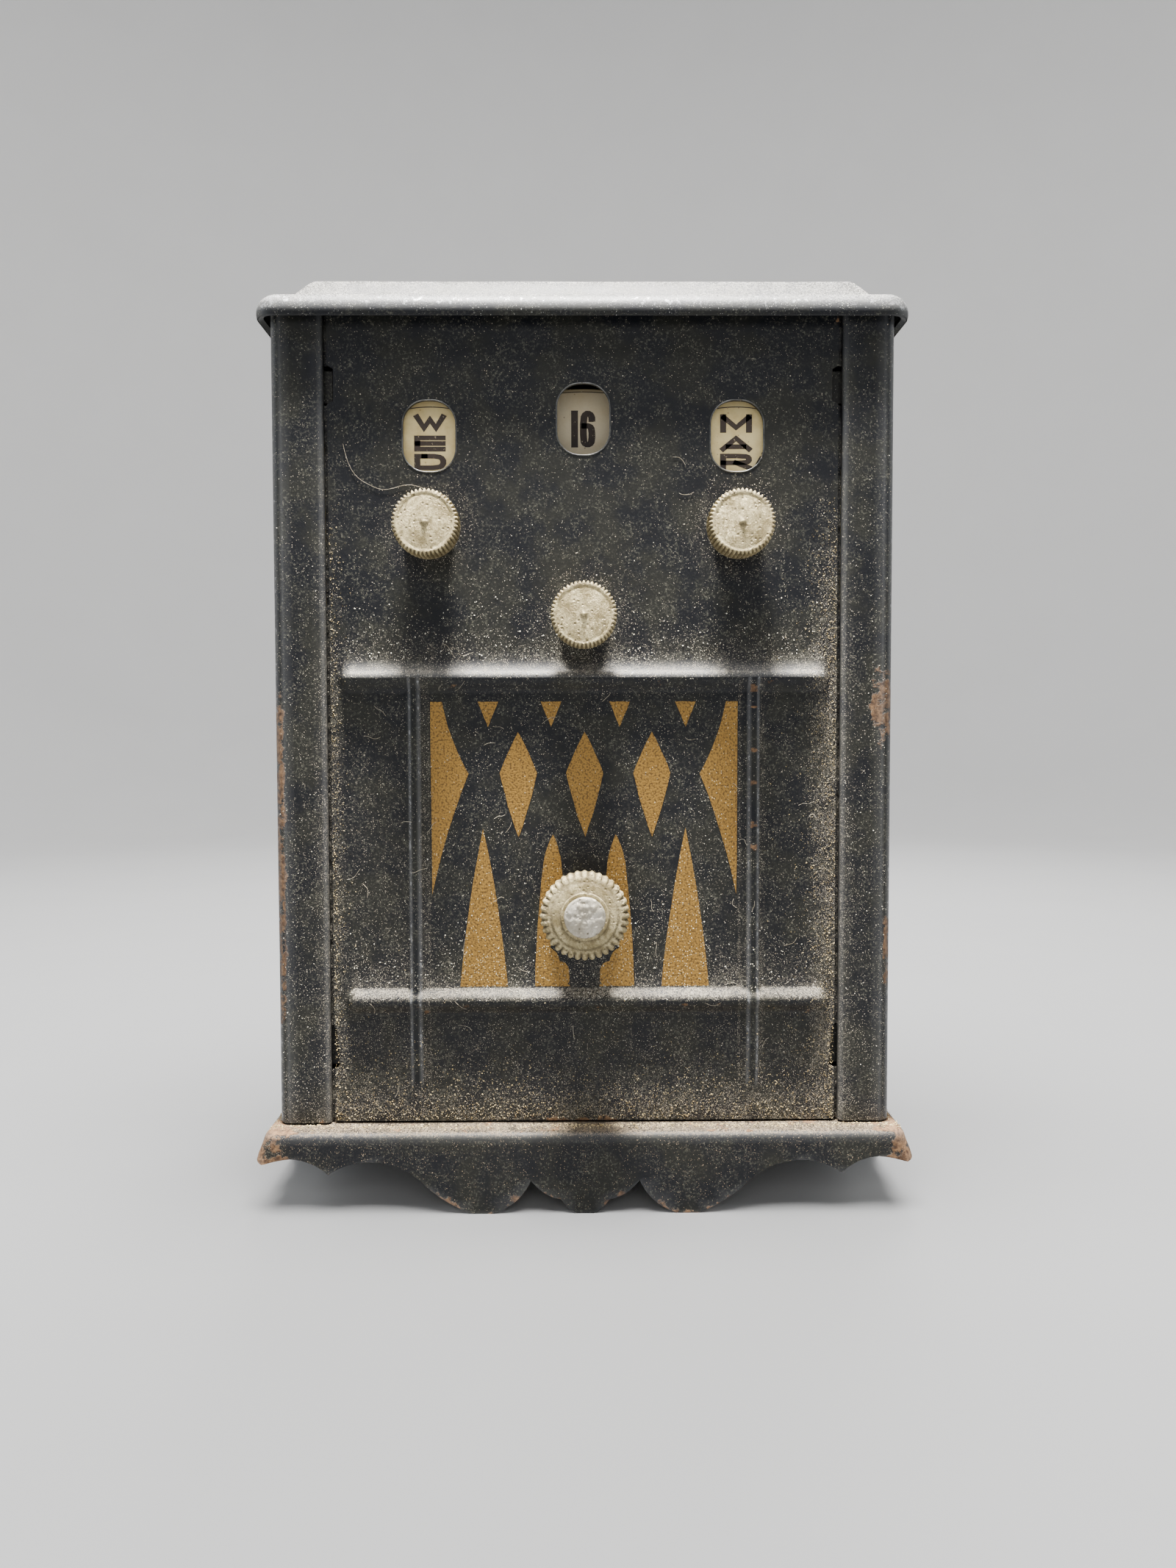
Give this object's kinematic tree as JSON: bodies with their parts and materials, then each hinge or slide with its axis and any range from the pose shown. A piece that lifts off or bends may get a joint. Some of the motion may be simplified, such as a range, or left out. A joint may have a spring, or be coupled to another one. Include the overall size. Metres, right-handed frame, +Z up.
{
  "type": "calendar coin bank",
  "caption": "Pressed-steel coin bank shaped like a console radio, with a knob-turned perpetual calendar, coin slot, lock knob and rear door.",
  "frame": {"origin": "on the ground, under the middle of the overall box", "axes": "+Z up, the calendar face looks towards -Y, +X to the right seen from the front"},
  "size_m": [0.096, 0.0616, 0.1362],
  "materials": {
    "enamel": "worn dusty black enamel with a gold stencilled grille",
    "enamel_inside": "thin black dip paint",
    "nickel": "dull knurled white metal with a warm patina",
    "steel": "bright drawn steel",
    "brass": "turned brass",
    "card": "aged ivory card with dark printing"
  },
  "bodies": {
    "cabinet": {"case_shell": "enamel", "front_plate": "enamel", "top_cornice": "enamel", "base_plinth": "enamel", "partition_plate": "enamel_inside", "day_bush": "brass", "month_bush": "brass", "date_bush": "brass", "date_rear_bush": "brass", "lock_bush": "brass", "lock_bearing": "brass", "hinge_leaf": "enamel_inside", "hinge_pin": "steel", "leaf_rivet_low": "steel", "leaf_rivet_high": "steel"},
    "day_dial": {"day_knob": "nickel", "day_spindle": "steel", "day_disc": "card", "day_hub": "brass", "day_spring_washer": "steel"},
    "month_dial": {"month_knob": "nickel", "month_spindle": "steel", "month_disc": "card", "month_hub": "brass", "month_spring_washer": "steel"},
    "date_dial": {"date_knob": "nickel", "date_spindle": "steel", "date_disc": "card", "date_hub": "brass", "date_spacer": "brass", "date_retainer": "steel", "date_spring_washer": "steel"},
    "lock": {"lock_knob": "nickel", "lock_shaft": "steel", "lock_collar": "brass", "lock_cam": "steel", "cam_nut": "steel"},
    "door": {"rear_door": "enamel", "door_striker": "steel", "striker_rivet_low": "steel", "striker_rivet_high": "steel"}
  },
  "joints": [
    {"name": "day_knob_turn", "type": "hinge", "parent": "cabinet", "child": "day_dial", "pos_m": [-0.0222, -0.02105, 0.09885], "axis": [0, 1, 0], "continuous": true},
    {"name": "month_knob_turn", "type": "hinge", "parent": "cabinet", "child": "month_dial", "pos_m": [0.0222, -0.02105, 0.09885], "axis": [0, 1, 0], "continuous": true},
    {"name": "date_knob_turn", "type": "hinge", "parent": "cabinet", "child": "date_dial", "pos_m": [0, -0.02105, 0.08605], "axis": [0, 1, 0], "continuous": true},
    {"name": "lock_knob_turn", "type": "hinge", "parent": "cabinet", "child": "lock", "pos_m": [0, -0.02105, 0.04385], "axis": [0, 1, 0], "range_deg": [0, 90]},
    {"name": "rear_door_swing", "type": "hinge", "parent": "cabinet", "child": "door", "pos_m": [-0.033, 0.02861, 0.04615], "axis": [0, 0, 1], "range_deg": [0, 110]}
  ]
}
